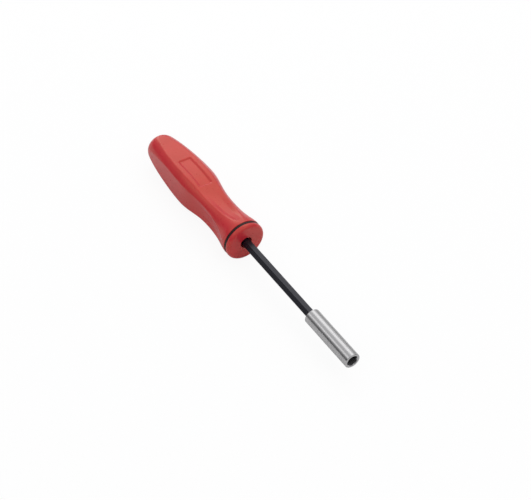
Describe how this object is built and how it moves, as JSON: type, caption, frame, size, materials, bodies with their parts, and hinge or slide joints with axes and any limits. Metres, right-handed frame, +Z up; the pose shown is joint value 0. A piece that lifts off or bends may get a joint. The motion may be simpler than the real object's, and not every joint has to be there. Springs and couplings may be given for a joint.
{
  "type": "nut driver",
  "caption": "Nut driver with a waisted plastic grip, four long flats that are hollow at the waist and a ringed collar, a hexagonal steel shank and a round socket with a hexagonal recess.",
  "frame": {"origin": "under the middle of the tool's length, level with the lowest line of the collar", "axes": "+X along the tool's axis from the butt towards the socket, +Z up through the flat that holds the sunk tablet"},
  "size_m": [0.2346, 0.0286, 0.0285],
  "materials": {
    "red_plastic": "gloss",
    "black_rubber": "matte",
    "black_steel": "satin",
    "bright_steel": "satin"
  },
  "bodies": {
    "root": {"handle": "red_plastic", "identification_ring": "black_rubber", "shank": "black_steel", "socket": "bright_steel"}
  },
  "joints": []
}
